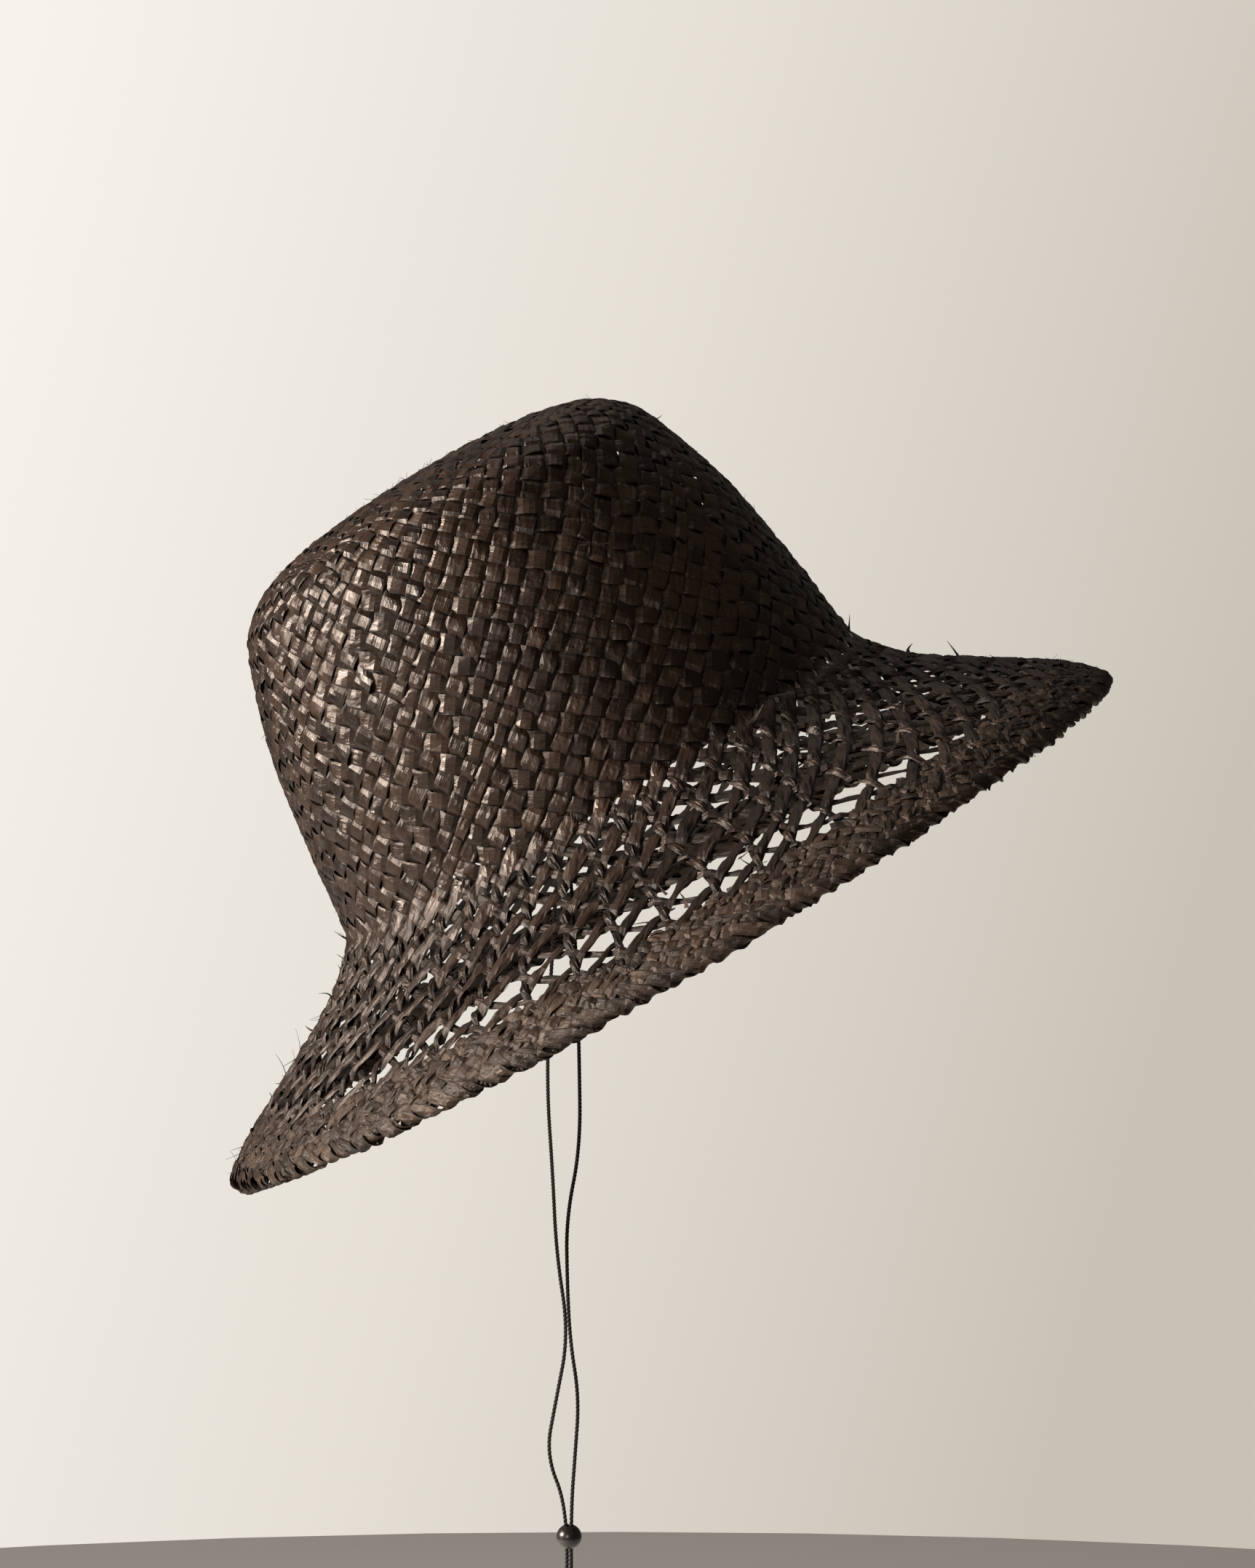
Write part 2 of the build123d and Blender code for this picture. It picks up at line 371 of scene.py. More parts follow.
PROFILE = inner_offset(smooth_line(CROWN_LINE + BRIM_LINE + EDGE_LINE), WALL / 2)
SLANT = np.concatenate([[0], np.cumsum(np.linalg.norm(np.diff(PROFILE, axis=0), axis=1))])
GRID = np.linspace(0, SLANT[-1], 1200)  # slants at which the profile's values are kept
HALF = np.maximum(np.interp(GRID, SLANT, PROFILE[:, 0]), 0.0)
HEIGHT = np.interp(GRID, SLANT, PROFILE[:, 1])


def slant_at(half):
    """How far along the profile it is this far from the axis."""
    return float(np.interp(half, HALF, GRID))


BREAK = slant_at(101.2)  # where the brim leaves the crown
OPEN_END = slant_at(158.6)  # where the open work meets the dense band
EDGE = slant_at(172.4)  # where the strip ends are folded back
END = SLANT[-1]
OVAL_MEET, OVAL_EASE = 0.985, 3  # the share of the gap where the ovals meet, and the slant to all of it
GAP = OVAL_GAP * np.clip((GRID - BREAK) / OVAL_EASE, OVAL_MEET, 1)
WIDTH = np.where(GRID < BREAK, HALF * OVAL, HALF - GAP)
HALF_STEP, WIDTH_STEP, HEIGHT_STEP = (np.gradient(x, GRID) for x in (HALF, WIDTH, HEIGHT))


def at(values, slant):
    """A profile value at each slant."""
    return np.interp(slant, GRID, values)


def perimeter(slant):
    """The length once round the hat at this slant."""
    a, b = at(HALF, slant), at(WIDTH, slant)
    return math.pi * (3 * (a + b) - np.sqrt((3 * a + b) * (a + 3 * b)))


def carried_forward(points):
    """The brim's points moved as it sits on the crown: towards the rim, forward and less leaned."""
    share = np.clip(points[..., 2] / EDGE_LINE[-1][1], 0, 1.1)
    moved = points.copy()
    moved[..., 0] -= BRIM_FORWARD * share**1.5
    moved[..., 2] -= points[..., 0] * math.tan(BRIM_TIP) * share
    return moved


def surface(slant, turn):
    """Points of the plait's middle layer and their outward normals, in the hat's own frame."""
    a, b, c, s = at(HALF, slant), at(WIDTH, slant), np.cos(turn), np.sin(turn)
    beyond = np.maximum(slant - END, 0)
    points = carried_forward(np.stack([a * c, b * s, at(HEIGHT, slant) - beyond], axis=-1))
    down = np.stack([at(HALF_STEP, slant) * c, at(WIDTH_STEP, slant) * s, at(HEIGHT_STEP, slant)], axis=-1)
    ratio = np.where(a > 1, b / np.maximum(a, 1), OVAL)
    round_ = np.stack([-s, ratio * c, np.zeros_like(c)], axis=-1)
    normals = np.cross(down, round_)
    return points, normals / np.linalg.norm(normals, axis=-1)[..., None]


def lean(points):
    """Points from the hat's own frame, in millimetres, to the row frame, in metres."""
    u, y, h = points[..., 0], points[..., 1], points[..., 2]
    x = u * math.cos(LEAN) - h * math.sin(LEAN)
    z = u * math.sin(LEAN) + h * math.cos(LEAN)
    return MM * np.stack([x, y, z], axis=-1)


# ---- ribbons
def wander(distance, shortest, longest, size):
    """A smooth random line over distance: a few waves between two wavelengths."""
    total = np.zeros(len(distance))
    for wave in np.geomspace(longest, shortest, 4):
        total += np.sin(2 * math.pi * distance / wave + rng.uniform(0, 2 * math.pi)) * rng.uniform(0.5, 1)
    return total * size / 2


def unit(vectors):
    """The vectors at length 1."""
    return vectors / (np.linalg.norm(vectors, axis=-1)[..., None] + 1e-9)


def run_along(points):
    """The distance along a line of points."""
    return np.concatenate([[0], np.cumsum(np.linalg.norm(np.diff(points, axis=0), axis=1))])


FIBRE_RUN = 5  # millimetres along a strip for one unit of its fibre pattern

# sections of a strip: (across, 1 top, 0 edge or -1 bottom) round its outline
FINE = [(-1, 0), (-0.72, 1), (-0.3, 1), (0.12, 1), (0.5, 1), (0.8, 1), (1, 0), (0, -1)]
COARSE = [(-1, 0), (-0.6, 1), (-0.05, 1), (0.55, 1), (1, 0), (0, -1)]
THIN = [(-1, 0), (0, 1), (1, 0)]


class Bundle:
    """Strips or threads gathered into one mesh."""

    def __init__(self):
        self.points, self.faces, self.along, self.shade, self.raised = [], [], [], [], []
        self.count = 0

    def add(self, rows, along, shade, across, raised=1.0):
        """One closed tube: rows is samples x section points x 3, in metres."""
        n, k = rows.shape[:2]
        base = self.count + np.arange(n - 1)[:, None] * k + np.arange(k)[None]
        beside = self.count + np.arange(n - 1)[:, None] * k + (np.arange(k)[None] + 1) % k
        quads = np.stack([base, beside, beside + k, base + k], axis=-1).reshape(-1, 4)
        self.faces.extend(quads.tolist())
        self.faces.append([self.count + i for i in reversed(range(k))])
        self.faces.append([self.count + (n - 1) * k + i for i in range(k)])
        self.points.append(rows.reshape(-1, 3))
        shift = np.full(n * k, shade * 37)  # so that no two strips show the same fibres
        self.along.append(np.stack([np.repeat(along, k), np.tile(across, n), shift], axis=1))
        self.shade.append(np.full(n * k, shade))
        self.raised.append(np.repeat(raised * np.ones(n), k))
        self.count += n * k

    def mesh(self, name, material, slot="strip", body="hat", stands_for=(), smooth=False):
        """Makes the object."""
        data = bpy.data.meshes.new(name)
        points = np.vstack(self.points)
        data.from_pydata(points.tolist(), [], self.faces)
        attribute = data.attributes.new("along", "FLOAT_VECTOR", "POINT")
        attribute.data.foreach_set("vector", np.vstack(self.along).astype(np.float32).ravel())
        for title, values in (("shade", self.shade), ("raised", self.raised)):
            attribute = data.attributes.new(title, "FLOAT", "POINT")
            attribute.data.foreach_set("value", np.concatenate(values).astype(np.float32))
        data.polygons.foreach_set("use_smooth", np.full(len(data.polygons), smooth))
        data.materials.append(material)
        data.update()
        piece = bpy.data.objects.new(name, data)
        bpy.context.collection.objects.link(piece)
        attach(piece, body)
        if stands_for:
            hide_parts(*stands_for)
        return piece


def ribbon_on(
    bundle, points, normals, width, crumple, twist=0.0, curl=0.05, thick=0.42, raised=1.0, section=COARSE
):
    """A creased strip through points, its face along normals. crumple sizes its creases, twist its roll."""
    forward = unit(np.gradient(points, axis=0))
    side = unit(np.cross(normals, forward))
    normals = np.cross(forward, side)
    along = run_along(points)
    roll = wander(along, 9, 40, 1.0) * twist
    cos, sin = np.cos(roll)[:, None], np.sin(roll)[:, None]
    side, up = side * cos + normals * sin, normals * cos - side * sin
    half = width / 2 * np.ones(len(points))
    rows = []
    for across, top in section:
        crease = wander(along, 6, 30, 1.0) * crumple * (1 if top > 0 else 0.5)
        ragged = 1 + (wander(along, 6, 30, 0.05) if abs(across) == 1 else 0)
        high = top * thick / 2 + curl * (0.7 - 1.4 * across**2) + crease
        rows.append(points + side * (across * ragged * half)[:, None] + up * high[:, None])
    across = np.array([a for a, _ in section])
    bundle.add(lean(np.stack(rows, axis=1)), along / FIBRE_RUN, rng.uniform(), across, raised)


def ribbon(bundle, slant, turn, lift, width, crumple, dim=0.0, **looks):
    """A strip along (slant, turn) on the hat, raised by lift. dim adds painted shade to its colour."""
    points, normals = surface(slant, turn)
    # raised drives the strip material's painted shade: darker where the strip lies low, and dim darkens it
    # further.
    raised = np.clip(0.5 + 0.75 * lift - dim, 0, 1)
    ribbon_on(bundle, points + normals * lift[:, None], normals, width, crumple, raised=raised, **looks)


# ---- the crown's bias plait: two families of strips on a square-topped net
ROUND = 56  # strips of each family once round the wall
SIDE = ROUND / 4  # of those, along each side of the top's square
M = SIDE / 2
TOP = 66.0  # slant of the top's square edge
DOWN = 14.0  # net rows from there to the brim
CROWN_STRAY = 0.24  # how far the crown's strips stray from the net, in strips


def wave_2d(p, q, size, seed):
    """A smooth random field on the net, the same again after once round."""
    field = np.random.default_rng(seed)
    total = np.zeros_like(p)
    for _ in range(7):
        turns = field.integers(3, 17)
        outwards, start = field.uniform(0.3, 1.1), field.uniform(0, 6.28)
        total += np.sin(2 * math.pi * turns * p / ROUND + outwards * q + start)
    return size * total / 3


def wall_to_hat(p, q):
    """Slant and turn of a place on the crown's wall: p strips round, q rows down."""
    share = q / DOWN
    slant = TOP + (BREAK - TOP) * (1.08 * share - 0.08 * share**2)
    beside = (np.mod(p, SIDE) - M) / M
    bend = np.arcsin(beside / math.sqrt(2)) - beside * math.pi / 4
    return slant, (p - M) * 2 * math.pi / ROUND + bend * np.exp(-q / 5)


def top_to_hat(x, y):
    """Slant and turn of a place on the crown's square top."""
    x, y = x / M, y / M
    u, v = x * np.sqrt(1 - y**2 / 2), y * np.sqrt(1 - x**2 / 2)
    return TOP * np.hypot(u, v), np.arctan2(v, u)


def crown_path(family, c, t):
    """Slant and turn along a crown strip. family is 1 for x + y = c, -1 for x - y = c."""
    x, y = (c / 2 + t, c / 2 - t) if family == 1 else (c / 2 + t, t - c / 2)
    inside = (np.abs(x) <= M) & (np.abs(y) <= M)
    slant, turn = top_to_hat(np.clip(x, -M, M), np.clip(y, -M, M))
    walls = [
        (x > M, x - M, y + M),
        (y > M, y - M, SIDE + M - x),
        (x < -M, -M - x, 2 * SIDE + M - y),
        (y < -M, -M - y, 3 * SIDE + M + x),
    ]
    p_all, q_all = np.zeros_like(t), np.full_like(t, -1.0)
    for on, q, p in walls:
        on = on & ~inside & (q > q_all)
        p_all, q_all = np.where(on, p, p_all), np.where(on, q, q_all)
    outside = q_all >= 0
    warp_p = p_all + wave_2d(p_all, q_all, CROWN_STRAY, 1) * np.clip(q_all / 4, 0, 1)
    warp_q = np.maximum(q_all, 0)
    wall_slant, wall_turn = wall_to_hat(warp_p, warp_q)
    return np.where(outside, wall_slant, slant), np.where(outside, wall_turn, turn), p_all, q_all


# ---- the brim's open work: the crown's two families, opened out, and a third straight outwards
ROWS = np.linspace(0, 9, 400)  # rows out from the crown; a row is two crossings of a bias strip
ROW_SLANTS = BREAK + 13.2 * ROWS - 3.4 * (1 - np.exp(-ROWS / 0.8))  # rows are closer together at the crown
Q_OPEN = float(np.interp(OPEN_END, ROW_SLANTS, ROWS))  # rows out to the band
Q_END = Q_OPEN + 0.45  # the strips run on a little way beneath the band
BRIM_STRAY = (0.13, 0.10)  # how far they stray from the net, round and outwards


def brim_to_hat(p, q):
    """Slant and turn of a place on the brim: p strips round, q rows out from the crown."""
    ease = np.clip(q / 1.5, 0, 1)
    p = p + wave_2d(p, q * 1.5, BRIM_STRAY[0], 2) * ease
    q = q + wave_2d(p, q * 1.5, BRIM_STRAY[1], 3) * ease
    return np.interp(q, ROWS, ROW_SLANTS), (p - M) * 2 * math.pi / ROUND


def smooth_join(values, spread=4):
    """Values evened out over a few samples."""
    kernel = np.exp(-0.5 * (np.arange(-3 * spread, 3 * spread + 1) / spread) ** 2)
    kernel /= kernel.sum()
    before = 2 * values[0] - values[3 * spread : 0 : -1]
    after = 2 * values[-1] - values[-2 : -3 * spread - 2 : -1]
    return np.convolve(np.concatenate([before, values, after]), kernel, mode="valid")


def soft_square(angle, hardness=1.7):
    """A cosine with flatter tops, as a strip lies over another and then dives."""
    return np.tanh(hardness * np.cos(angle)) / math.tanh(hardness)


STEP = 0.125  # net units between samples: four to a crossing
CROWN_LIFT, BRIM_LIFT = 0.72, 0.95  # how far strips rise and dive at crossings
ROW_PACE = 0.105  # net rows between samples
DRIFT = {"steep": -1, "cross": 1, "outward": 0}  # how far round a row's step takes each family
WIDEST = {"steep": 6.1, "cross": 4.9, "outward": 3.4}  # widths at the crown, in millimetres
NARROWING = {"steep": 0.36, "cross": 0.48, "outward": 0.2}  # how much of them is gone at the band
BUMP = 0.13  # how far along a row a brim strip's rise or dive reaches, in rows
CROWN_WIDTHS = (4.8, 8.4)  # the narrowest and the widest that a crown strip gets
FILL = (0.88, 1.04)  # how much of the room between its neighbours a crown strip takes
OPENS_AT, OPENS_OVER = 0.4, 0.9  # rows out where the open work's weave starts, and over how many


def bump_at(q, place):
    """1 where a strip crosses at this part of each row, and 0 away from it."""
    return np.exp(-(((q - place + 0.5) % 1 - 0.5) ** 2) / BUMP**2)


def brim_leg(kind, p0, q_end, q_start=0.0):
    """One strip on the brim from the crown outwards: slant, turn, lift, width and row."""
    q = np.arange(q_start + ROW_PACE, q_end, ROW_PACE)
    slant, turn = brim_to_hat(p0 + DRIFT[kind] * q, q)
    share = np.clip(q / Q_OPEN, 0, 1)
    lift = {
        "steep": 0.9 - 1.8 * bump_at(q, 0.25),
        "cross": -0.75 + 1.75 * bump_at(q, 0.75),
        "outward": np.cos(2 * math.pi * (q - 0.25)),
    }[kind]
    return slant, turn, BRIM_LIFT * lift, WIDEST[kind] * (1 - NARROWING[kind] * share), q


def crown_strip(bundle, family, c):
    """A strip from the brim up the wall, over the top and down again, and on into the brim."""
    reach = M - abs(c) / 2 + DOWN
    t = np.linspace(-reach, reach, round(2 * reach / STEP) + 1)
    slant, turn, p, _ = crown_path(family, c, t)
    turn = np.unwrap(turn)
    phase = round(c - 0.5) - 0.5
    gap = surface(*crown_path(family, c + 0.5, t)[:2])[0] - surface(*crown_path(family, c - 0.5, t)[:2])[0]
    forward = unit(np.gradient(surface(slant, turn)[0], axis=0))
    spacing = np.linalg.norm(gap - (gap * forward).sum(1)[:, None] * forward, axis=1)
    width = np.clip(smooth_join(spacing), *CROWN_WIDTHS) * rng.uniform(*FILL)
    lift = CROWN_LIFT * family * soft_square(math.pi * (phase + 2 * t))
    parts = [(slant, turn, lift, width, np.zeros_like(t))]
    for end in (0, -1):
        ahead = p[0] - p[1] if end == 0 else p[-1] - p[-2]
        leg = list(brim_leg("steep" if ahead < 0 else "cross", p[end], Q_END))
        row = leg[4]
        onward = t[end] + math.copysign(1, t[end]) * row
        plain = CROWN_LIFT * family * soft_square(math.pi * (phase + 2 * onward))
        opened = np.clip((row - OPENS_AT) / OPENS_OVER, 0, 1)
        leg[2] = plain + (leg[2] - plain) * opened
        leg[1] = leg[1] + 2 * math.pi * round((turn[end] - leg[1][0]) / (2 * math.pi))
        if end == 0:
            parts.insert(0, tuple(x[::-1] for x in leg))
        else:
            parts.append(tuple(leg))
    slant, turn, lift, width, row = (np.concatenate([part[i] for part in parts]) for i in range(5))
    slant, turn = smooth_join(slant, 2), smooth_join(turn, 2)
    loose = np.clip(row / 1.5, 0, 1)
    width = smooth_join(width, 5) * (1 + wander(np.arange(len(width)), 12, 60, 0.05 + 0.06 * loose))
    # On the brim the strips take painted shade (dim), as well as more twist and curl.
    looks = {"twist": 0.17 + 0.13 * loose, "curl": 0.05 + 0.3 * loose, "dim": 0.7 * loose, "section": FINE}
    ribbon(bundle, slant, turn, lift, width, 0.12 + 0.14 * loose, **looks)


PIECES = 8  # meshes that the crown's strips are gathered into
crown_bundles = [Bundle() for _ in range(PIECES)]
lines = [i + 0.5 for i in range(-int(SIDE), int(SIDE))]
for number, (family, c) in enumerate((f, c) for f in (1, -1) for c in lines):
    crown_strip(crown_bundles[number * PIECES // (2 * len(lines))], family, c)
for number, bundle in enumerate(crown_bundles):
    bundle.mesh(f"plait_strips_{number + 1}", CROWN_LOOK, stands_for=("crown_weave",))

TUCK_ROWS, TUCK_LIFT = 0.15, -1.1  # how an outward strip starts beneath the others
outward_bundle = Bundle()
for k in range(ROUND):
    slant, turn, lift, width, row = brim_leg("outward", k + 0.25, Q_END, rng.uniform(0.2, 0.5))
    lift = np.where(row < row[0] + TUCK_ROWS, TUCK_LIFT, lift)
    # The outward strips take painted shade (dim), like the crown strips on the brim.
    ribbon(outward_bundle, slant, turn, lift, width, 0.26, twist=0.3, curl=0.3, dim=0.48, section=FINE)
outward_bundle.mesh("outward_strips", BRIM_LOOK, stands_for=("brim_openwork",))

# ---- the brim's dense edge band
BAND_ROUND = 144  # strips of each family once round
BAND_SPACE = perimeter(OPEN_END + 10) / BAND_ROUND  # from one strip to the next, halfway out
BAND_ROW = 0.78 * BAND_SPACE
BAND_PACE = 0.16  # rows between samples
BAND_STRAY = (0.22, 0.16)  # how far the strips stray, round and outwards
BAND_LIFT = 0.55  # how far they rise and dive at crossings
FOLDED = 520  # strip ends folded back over the band


def band_place(p, q):
    """Slant and turn of a place on the band: p strips round, q rows out from its start."""
    round_ = p * ROUND / BAND_ROUND
    p = p + wave_2d(round_ * 3, q * 1.7, BAND_STRAY[0], 4)
    q = q + wave_2d(round_ * 2, q * 2.1, BAND_STRAY[1], 5)
    return OPEN_END + q * BAND_ROW, p * 2 * math.pi / BAND_ROUND


def band_strip(bundle, family, k):
    """A short strip across the band."""
    first = rng.uniform(-0.5, -0.1)
    q = np.arange(first, (EDGE + 1.5 - OPEN_END) / BAND_ROW, BAND_PACE)
    slant, turn = band_place(k + family * q, q)
    lift = BAND_LIFT * family * np.cos(2 * math.pi * q) + 0.2 * np.clip(q * 2, -1, 1)
    width = rng.uniform(4.2, 5.3) * (1 - 0.12 * (q < first + 0.3))
    ribbon(bundle, slant, turn, lift, width, 0.3, twist=0.2, thick=0.5)


def folded_end(bundle):
    """A short strip end that lies on the band, tucked in at both ends."""
    slant = np.full(9, rng.uniform(OPEN_END + 2, EDGE))
    slope, length = rng.choice((-1, 1)) * rng.uniform(0.35, 0.9), rng.uniform(5, 11)
    step = np.linspace(-0.5, 0.5, 9) * length
    start = rng.uniform(0, 2 * math.pi)
    slant = np.clip(slant + step * math.sin(slope), OPEN_END, END - 1)
    turn = start + step * math.cos(slope) / (at(HALF, slant) - OVAL_GAP / 2)
    tuck = 1 - (np.linspace(-1, 1, 9) ** 2) ** 2
    side = rng.choice((1, 1, -1))  # more of them on the outside
    lift = side * (0.15 + (0.75 + rng.uniform(0, 0.3)) * tuck)
    ribbon(bundle, slant, turn, lift, rng.uniform(2.2, 4.4), 0.35, twist=0.35, thick=0.4)


for side, family in (("left", 1), ("right", -1)):
    band_bundle = Bundle()
    for k in range(BAND_ROUND):
        band_strip(band_bundle, family, k)
    band_bundle.mesh(f"band_strips_{side}", BAND_LOOK, stands_for=("brim_band",))

folded_bundle = Bundle()
for _ in range(FOLDED):
    folded_end(folded_bundle)
folded_bundle.mesh("band_folded_ends", BAND_LOOK, stands_for=("brim_band",))

# ---- the rim: strip ends folded over the edge, each lying on the next
WRAPS = 168  # folds once round


def rim_wrap(bundle, k):
    """A strip end that comes down the outside, bends round the edge and goes up the inside."""
    half_length = rng.uniform(2.8, 4.8)
    fold = rng.uniform(0.9, 1.45)  # radius of the bend
    reach = END - rng.uniform(0.9, 2.0)
    place = 2 * math.pi * (k + rng.uniform(-0.4, 0.4)) / WRAPS
    outer = np.linspace(-half_length, 0, 7)[:-1]
    bend = np.linspace(math.pi / 2, -math.pi / 2, 7)
    inner = np.linspace(0, -half_length * 0.8, 6)[1:]
    slant = np.concatenate([reach + outer, reach + fold * np.cos(bend), reach + inner])
    lift = np.concatenate([np.full(6, fold), fold * np.sin(bend), np.full(5, -fold)])
    lift[0], lift[-1] = 0.3, -0.3
    drift = np.linspace(-1, 1, len(slant)) * rng.uniform(7, 11.5)
    turn = place + drift / at(HALF, np.minimum(slant, END))
    points, normals = surface(np.minimum(slant, END), turn)
    above, edge = (surface(np.full_like(turn, slant_), turn)[0] for slant_ in (END - 1, END))
    down = unit(edge - above)
    points = points + down * np.maximum(slant - END, 0)[:, None] + normals * lift[:, None]
    aim = np.concatenate([np.full(6, math.pi / 2), bend, np.full(5, -math.pi / 2)])
    outward = normals * np.sin(aim)[:, None] + down * np.cos(aim)[:, None]
    width = rng.uniform(3.4, 6.2) * (1 - 0.3 * np.linspace(-1, 1, len(slant)) ** 4)
    ribbon_on(bundle, points, outward, width, 0.3, twist=0.12, thick=0.6, section=FINE)


wrap_bundle = Bundle()
for k in range(WRAPS):
    rim_wrap(wrap_bundle, k)
wrap_bundle.mesh("rim_folds", BAND_LOOK, stands_for=("rim_fold",))


# ---- frayed fibres and loose strip ends
def fray(bundle, slant, turn, length, width):
    """A loose fibre that lifts away from the plait and tapers to nothing."""
    step = np.linspace(0, 1, 6)
    heading, rise, bend = rng.uniform(0, 2 * math.pi), rng.uniform(0.15, 0.9), rng.uniform(-0.9, 0.9)
    turned = heading + bend * step
    points, normals = surface(np.array([slant] * 2), np.array([turn, turn + 0.002]))
    normal = normals[0]
    steps = surface(np.array([slant - 1, slant]), np.array([turn] * 2))[0]
    down = unit(steps[1] - steps[0])
    across = np.cross(down, normal)
    flat = np.cos(turned)[:, None] * down + np.sin(turned)[:, None] * across
    line = points[0] + normal * 0.8 + length * step[:, None] * flat
    line = line + normal * (length * rise * step**1.4)[:, None]
    side = np.cross(flat, normal)
    thickness = width * (1 - 0.85 * step)
    rows = [line + side * (a * thickness / 2)[:, None] + normal * (h * 0.12) for a, h in THIN]
    across = np.array([a for a, _ in THIN])
    bundle.add(lean(np.stack(rows, axis=1)), step * length / FIBRE_RUN, rng.uniform(), across)


fray_bundle = Bundle()
# how many, from where to where, their lengths and their widths
for count, start, stop, lengths, widths in (
    (170, 3, BREAK, (1.2, 3.2), (0.2, 0.6)),
    (140, BREAK, OPEN_END, (2.5, 7.5), (0.5, 2)),
    (420, OPEN_END, END, (1.2, 3.4), (0.2, 0.7)),
):
    for _ in range(count):
        slant, turn = rng.uniform(start, stop), rng.uniform(0, 2 * math.pi)
        fray(fray_bundle, slant, turn, rng.uniform(*lengths), rng.uniform(*widths))
for _ in range(26):  # the front of the brim has more, and longer ones
    place = math.pi + rng.normal(0, 0.35)
    fray(fray_bundle, rng.uniform(BREAK + 8, END - 4), place, rng.uniform(4, 9), rng.uniform(0.5, 1.5))
fray_bundle.mesh("frayed_fibres", BAND_LOOK)

# ---- the sweatband
RIBBON_LOW, RIBBON_HIGH = 1.5, 27.5  # heights of its edges
RIBBON, RIBBON_HALF = 0.9, 97.6  # its thickness, and half the length of its oval at the lower edge
RIBBON_LEAN = 3.2 / (RIBBON_HIGH - RIBBON_LOW)  # how much that half length shrinks with height
CLEAR = 0.15  # gap between pieces that lie on each other
JOIN_ARC, JOIN_INSET = math.radians(9), 0.5  # the overlap's arc, and how much narrower it is


def standing_ribbon(name, half, low, high, arc, stands_for):
    """A ribbed ribbon standing round the inside of the crown, over arc radians from the back."""
    columns = int(1500 * arc / (2 * math.pi))
    turn = np.linspace(0, arc, columns)
    rib = 0.07 * (np.arange(columns) % 2)
    levels = np.linspace(low, high, 5)
    rows = []
    for face, heights in ((0, levels), (RIBBON, levels[::-1])):
        for i, height in enumerate(heights):
            edge = i in (0, 4)
            out = half - RIBBON_LEAN * (height - RIBBON_LOW) + face * (0.75 if edge else 1)
            out = out + (rib if face == 0 else -rib) + (0.1 if edge and face == 0 else 0)
            wave = 0.12 * np.sin(23 * turn) * (height > low)
            rows.append(np.stack([out * np.cos(turn), OVAL * out * np.sin(turn), height + wave], axis=1))
    rows = np.stack(rows, axis=1)
    bundle = Bundle()
    bundle.add(lean(rows), turn * half / FIBRE_RUN, 0.5, np.linspace(-1, 1, rows.shape[1]))
    return bundle.mesh(name, RIBBON_LOOK, slot="ribbon", stands_for=stands_for)


standing_ribbon("sweatband_ribbon", RIBBON_HALF, RIBBON_LOW, RIBBON_HIGH, 2 * math.pi, ("sweatband",))
standing_ribbon(
    "sweatband_overlap",
    RIBBON_HALF - RIBBON - CLEAR,
    RIBBON_LOW + JOIN_INSET,
    RIBBON_HIGH - JOIN_INSET,
    JOIN_ARC,
    ("sweatband_join",),
)


def on_oval(half, turn, height, into=0.0):
    """A place on an oval of the crown's proportions, its inward and its sideways direction."""
    place = np.array([half * math.cos(turn), OVAL * half * math.sin(turn), height])
    inward = unit(-np.array([OVAL * math.cos(turn), math.sin(turn), 0]))
    return place + into * inward, inward, np.cross([0, 0, 1.0], inward)


def thread_tube(bundle, line, radius, sides=6, plies=2, pitch=1.6):
    """Thread or cord along line: plies strands that turn round each other."""
    along = run_along(line)
    forward = unit(np.gradient(line, axis=0))
    aside = unit(np.cross(forward, np.array([0.31, 0.23, 0.92])))
    other = np.cross(forward, aside)
    strand = radius * (0.55 if plies > 1 else 1)
    for ply in range(plies):
        angle = 2 * math.pi * (along / pitch + ply / plies)
        twisted = aside * np.cos(angle)[:, None] + other * np.sin(angle)[:, None]
        centre = line + (radius - strand) * twisted
        ring = 2 * math.pi * np.arange(sides) / sides
        rows = [centre + strand * (aside * math.cos(a) + other * math.sin(a)) for a in ring]
        bundle.add(lean(np.stack(rows, axis=1)), along, rng.uniform(), np.cos(ring))


stitch_bundle = Bundle()
STITCHES, STITCH_UP = 64, 2.0
JOIN_STITCHES = 2  # stitches left out at the overlap
STITCH_OUT, STITCH_HALF, STITCH_THREAD = 0.4, 1.6, 0.25  # how far in it lies, its half length and radius
for i in range(JOIN_STITCHES, STITCHES):
    half = RIBBON_HALF - RIBBON_LEAN * STITCH_UP - STITCH_OUT / OVAL
    place, inward, sideways = on_oval(half, 2 * math.pi * (i + 0.5) / STITCHES, RIBBON_LOW + STITCH_UP)
    step = np.linspace(-1, 1, 9)
    tilt = rng.uniform(-0.2, 0.2)
    line = place + STITCH_HALF * step[:, None] * sideways + (0.3 - 0.55 * step**4)[:, None] * inward
    line[:, 2] += tilt * step
    thread_tube(stitch_bundle, line, STITCH_THREAD)
stitch_bundle.mesh(
    "sweatband_thread", THREAD_LOOK, slot="thread", stands_for=("sweatband_stitches",), smooth=True
)

